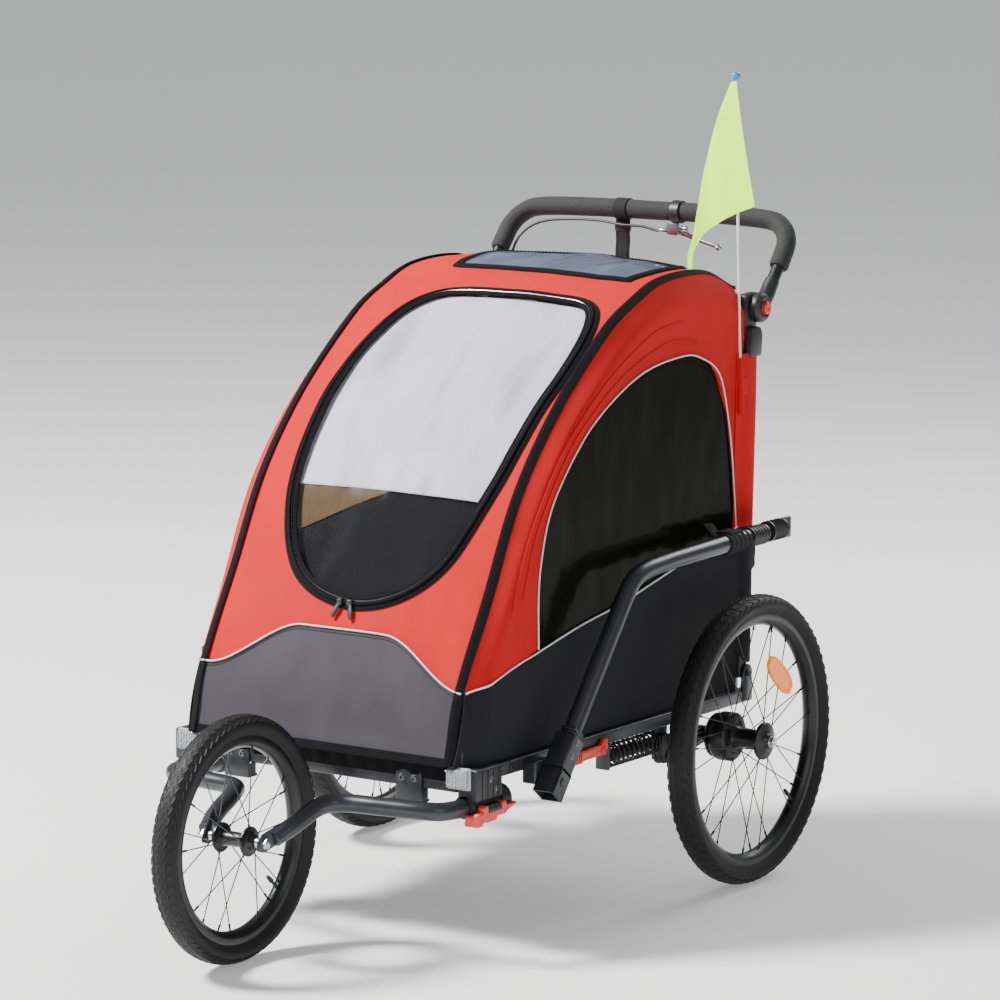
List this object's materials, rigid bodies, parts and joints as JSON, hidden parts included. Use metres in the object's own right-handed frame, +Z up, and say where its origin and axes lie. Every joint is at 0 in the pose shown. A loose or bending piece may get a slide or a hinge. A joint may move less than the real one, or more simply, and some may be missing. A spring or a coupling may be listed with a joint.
{
  "type": "child bicycle trailer",
  "caption": "Folding child bicycle trailer that converts to a jogger: fabric cabin with zip window, sprung rear wheels, front wheel, push bar, stowed tow arm and flag.",
  "frame": {"origin": "centre of the bounding box, on the ground", "axes": "+Z up, +Y towards the push bar at the rear, +X to the trailer's left side, where the tow arm and the flag are"},
  "size_m": [0.866, 1.4655, 1.3745],
  "materials": {
    "black_alloy": "satin black coated alloy",
    "black_plastic": "fine grained black moulding",
    "clear_reflector": "clear prismatic reflector",
    "dark_fabric": "black woven polyester",
    "foam": "closed-cell foam",
    "frame_paint": "satin dark grey powder coat on tube",
    "orange_reflector": "orange prismatic reflector",
    "pennant": "yellow-green high-visibility cloth",
    "pole": "white glass-fibre rod with a blue tip",
    "red_fabric": "woven red polyester, coated",
    "red_plastic": "semi-gloss red moulding",
    "spring_steel": "black coated spring wire",
    "steel": "bright plated steel",
    "tyre_rubber": "matt black rubber with block tread",
    "webbing": "black woven webbing",
    "window_film": "clear flexible film over a pale sunshade"
  },
  "bodies": {
    "chassis": {"side_rail_left": "frame_paint", "side_rail_right": "frame_paint", "corner_bracket_left": "black_plastic", "corner_bracket_right": "black_plastic", "front_crossbar": "frame_paint", "rear_crossbar": "frame_paint", "floor_panel": "dark_fabric", "fork_hook_left": "frame_paint", "fork_hook_right": "frame_paint", "fork_arm_left": "frame_paint", "fork_arm_right": "frame_paint", "front_reflector_left": "clear_reflector", "front_reflector_right": "clear_reflector", "front_axle": "steel", "suspension_spring_left": "spring_steel", "suspension_spring_right": "spring_steel", "side_panel_left": "red_fabric", "side_panel_right": "red_fabric", "rear_panel": "dark_fabric", "seat_cushion": "dark_fabric", "seat_back": "dark_fabric"},
    "front_wheel": {"front_tyre": "tyre_rubber", "front_rim": "black_alloy", "front_hub": "black_alloy"},
    "swing_arm_left": {"swing_arm_left": "black_plastic"},
    "swing_arm_right": {"swing_arm_right": "black_plastic"},
    "wheel_left": {"left_tyre": "tyre_rubber", "left_rim": "black_alloy", "left_hub": "black_alloy", "left_wheel_reflector": "orange_reflector"},
    "wheel_right": {"right_tyre": "tyre_rubber", "right_rim": "black_alloy", "right_hub": "black_alloy", "right_wheel_reflector": "orange_reflector"},
    "rear_frame": {"rear_upright_left": "frame_paint", "rear_upright_right": "frame_paint", "handle_joint_left": "black_plastic", "handle_joint_right": "black_plastic", "backrest_bar": "frame_paint", "flag_socket": "black_plastic"},
    "flag": {"flag_pole": "pole", "pennant": "pennant"},
    "front_hoop": {"canopy_hoop": "frame_paint", "front_cover": "red_fabric"},
    "window_flap": {"window_flap": "window_film"},
    "handlebar": {"handlebar_tube": "frame_paint", "foam_grip": "foam", "brake_clamp": "black_plastic", "wrist_strap": "webbing", "brake_cable": "webbing"},
    "brake_lever": {"brake_lever": "steel"},
    "button_left": {"handle_button_left": "red_plastic"},
    "button_right": {"handle_button_right": "red_plastic"},
    "fork_clip_left": {"fork_clip_left": "red_plastic"},
    "fork_clip_right": {"fork_clip_right": "red_plastic"},
    "lock_lever_left": {"lock_lever_left": "red_plastic"},
    "lock_lever_right": {"lock_lever_right": "red_plastic"},
    "tow_arm": {"tow_arm": "frame_paint", "stow_strap": "webbing"},
    "hitch_coupler": {"hitch_coupler": "black_plastic"}
  },
  "joints": [
    {"name": "frame_fold", "type": "hinge", "parent": "chassis", "child": "rear_frame", "pos_m": [0, 0.558, 0.335], "axis": [1, 0, 0], "range_deg": [0, 72], "deforming": ["side_panel_left", "side_panel_right", "rear_panel", "seat_back"]},
    {"name": "hoop_fold", "type": "hinge", "parent": "chassis", "child": "front_hoop", "pos_m": [0, -0.282, 0.325], "axis": [1, 0, 0], "range_deg": [-31, 0]},
    {"name": "front_wheel_spin", "type": "hinge", "parent": "chassis", "child": "front_wheel", "pos_m": [0, -0.53, 0.2], "axis": [1, 0, 0], "continuous": true},
    {"name": "suspension_left", "type": "hinge", "parent": "chassis", "child": "swing_arm_left", "pos_m": [0.29, 0.293, 0.232], "axis": [1, 0, 0], "range_deg": [0, 7], "stiffness_Nm_per_rad": 150, "springref_deg": -4.58, "deforming": ["suspension_spring_left"]},
    {"name": "wheel_left_spin", "type": "hinge", "parent": "swing_arm_left", "child": "wheel_left", "pos_m": [0.384, 0.418, 0.25], "axis": [1, 0, 0], "continuous": true},
    {"name": "handle_button_left_press", "type": "slide", "parent": "handlebar", "child": "button_left", "axis": [-1, 0, 0], "range_m": [0, 0.003], "stiffness_N_per_m": 400, "springref_m": -0.002},
    {"name": "fork_clip_left_turn", "type": "hinge", "parent": "chassis", "child": "fork_clip_left", "pos_m": [0.272, -0.201, 0.243], "axis": [0, 1, 0], "range_deg": [0, 35], "stiffness_Nm_per_rad": 0.4, "springref_deg": -17.19},
    {"name": "lock_lever_left_turn", "type": "hinge", "parent": "chassis", "child": "lock_lever_left", "pos_m": [0.2975, 0.073, 0.279], "axis": [1, 0, 0], "range_deg": [0, 45]},
    {"name": "suspension_right", "type": "hinge", "parent": "chassis", "child": "swing_arm_right", "pos_m": [-0.29, 0.293, 0.232], "axis": [1, 0, 0], "range_deg": [0, 7], "stiffness_Nm_per_rad": 150, "springref_deg": -4.58, "deforming": ["suspension_spring_right"]},
    {"name": "wheel_right_spin", "type": "hinge", "parent": "swing_arm_right", "child": "wheel_right", "pos_m": [-0.384, 0.418, 0.25], "axis": [1, 0, 0], "continuous": true},
    {"name": "handle_button_right_press", "type": "slide", "parent": "handlebar", "child": "button_right", "axis": [1, 0, 0], "range_m": [0, 0.003], "stiffness_N_per_m": 400, "springref_m": -0.002},
    {"name": "fork_clip_right_turn", "type": "hinge", "parent": "chassis", "child": "fork_clip_right", "pos_m": [-0.272, -0.201, 0.243], "axis": [0, -1, 0], "range_deg": [0, 35], "stiffness_Nm_per_rad": 0.4, "springref_deg": -17.19},
    {"name": "lock_lever_right_turn", "type": "hinge", "parent": "chassis", "child": "lock_lever_right", "pos_m": [-0.2975, 0.073, 0.279], "axis": [1, 0, 0], "range_deg": [0, 45]},
    {"name": "handle_tilt", "type": "hinge", "parent": "rear_frame", "child": "handlebar", "pos_m": [0, 0.584, 0.968], "axis": [1, 0, 0], "range_deg": [-90, 36]},
    {"name": "brake_lever_pull", "type": "hinge", "parent": "handlebar", "child": "brake_lever", "pos_m": [0.05, 0.7175, 1.077], "axis": [0, -1, 0], "range_deg": [0, 16], "stiffness_Nm_per_rad": 1.2, "springref_deg": -8.59},
    {"name": "tow_arm_swing", "type": "hinge", "parent": "chassis", "child": "tow_arm", "pos_m": [0.34, -0.137, 0.268], "axis": [-1, 0, 0], "range_deg": [-128, 0]},
    {"name": "hitch_swivel", "type": "hinge", "parent": "tow_arm", "child": "hitch_coupler", "pos_m": [0.34, 0.548, 0.588], "axis": [0, 0, 1], "range_deg": [-25, 25], "stiffness_Nm_per_rad": 3},
    {"name": "window_flap_lift", "type": "hinge", "parent": "front_hoop", "child": "window_flap", "pos_m": [0, 0.196, 1.008], "axis": [1, 0, 0], "range_deg": [-100, 0]},
    {"name": "flag_lift", "type": "slide", "parent": "rear_frame", "child": "flag", "axis": [-0.0365, 0, 0.9993], "range_m": [0, 0.2]}
  ],
  "couplings": [
    {"joint": "hoop_fold", "follows": "frame_fold", "ratio": -0.43}
  ]
}
